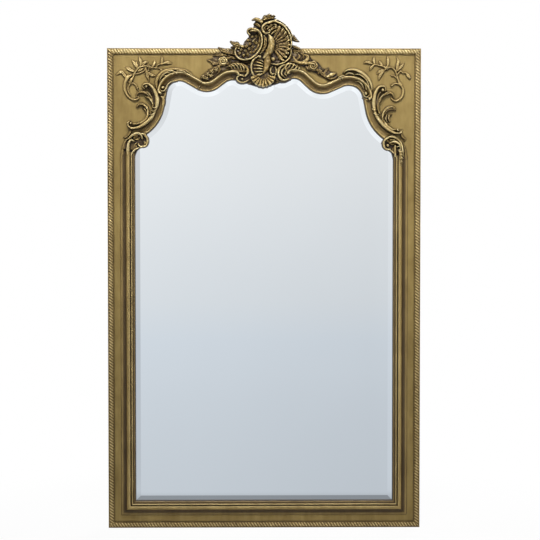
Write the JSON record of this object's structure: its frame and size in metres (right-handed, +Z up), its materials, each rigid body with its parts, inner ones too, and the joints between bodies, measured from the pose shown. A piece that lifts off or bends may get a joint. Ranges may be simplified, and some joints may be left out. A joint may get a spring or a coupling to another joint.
{
  "type": "wall mirror",
  "caption": "Tall wall mirror: bevelled plate with a serpentine top in a gilt rococo frame with shell crest, scrolls and rope border; two swinging rings at the back to hang it.",
  "frame": {"origin": "centre of the back face of the backboard: middle of the frame's width and of its height without the crest", "axes": "+Z up, -Y out of the front towards the viewer, +X to the viewer's right"},
  "size_m": [1.12, 0.0693, 1.8423],
  "materials": {
    "gilt_ground": "antique gold leaf over wood, satin",
    "gilt_carving": "burnished gold leaf with dark wash in the recesses",
    "mirror_plate": "silvered plate glass with a polished bevel",
    "backboard_panel": "unfinished hardboard",
    "plain_wood": "plain softwood",
    "felt": "black felt tape",
    "hanger_brass": "plain rolled brass",
    "screw_steel": "zinc plated",
    "bumper_rubber": "matt black"
  },
  "bodies": {
    "frame": {"backboard": "backboard_panel", "backboard_screws": "screw_steel", "bottom_rail": "gilt_ground", "capital_left": "gilt_carving", "capital_right": "gilt_carving", "corner_scroll_left": "gilt_carving", "corner_scroll_right": "gilt_carving", "crest_carving": "gilt_carving", "crest_plate": "gilt_carving", "crest_screws": "screw_steel", "dowel_pins": "plain_wood", "foliage_spray_left": "gilt_carving", "foliage_spray_right": "gilt_carving", "glass_packing": "plain_wood", "glass_setting_blocks": "plain_wood", "hanger_screws": "screw_steel", "hanger_strap_left": "hanger_brass", "hanger_strap_right": "hanger_brass", "header_panel": "gilt_ground", "left_stile": "gilt_ground", "mirror_glass": "mirror_plate", "rebate_tape": "felt", "right_stile": "gilt_ground", "rope_border_bottom": "gilt_carving", "rope_border_left": "gilt_carving", "rope_border_right": "gilt_carving", "rope_border_top_left": "gilt_carving", "rope_border_top_right": "gilt_carving", "rose_garland_left": "gilt_carving", "rose_garland_right": "gilt_carving", "serpentine_moulding_left": "gilt_carving", "serpentine_moulding_right": "gilt_carving", "sight_moulding_bottom": "gilt_carving", "sight_moulding_left": "gilt_carving", "sight_moulding_right": "gilt_carving", "wall_bumpers": "bumper_rubber"},
    "ring_left": {"hanger_ring_left": "hanger_brass"},
    "ring_right": {"hanger_ring_right": "hanger_brass"}
  },
  "joints": [
    {"name": "ring_swing_left", "type": "hinge", "parent": "frame", "child": "ring_left", "pos_m": [-0.51, 0.00438, 0.44], "axis": [-1, 0, 0], "range_deg": [0, 150]},
    {"name": "ring_swing_right", "type": "hinge", "parent": "frame", "child": "ring_right", "pos_m": [0.51, 0.00438, 0.44], "axis": [-1, 0, 0], "range_deg": [0, 150]}
  ]
}
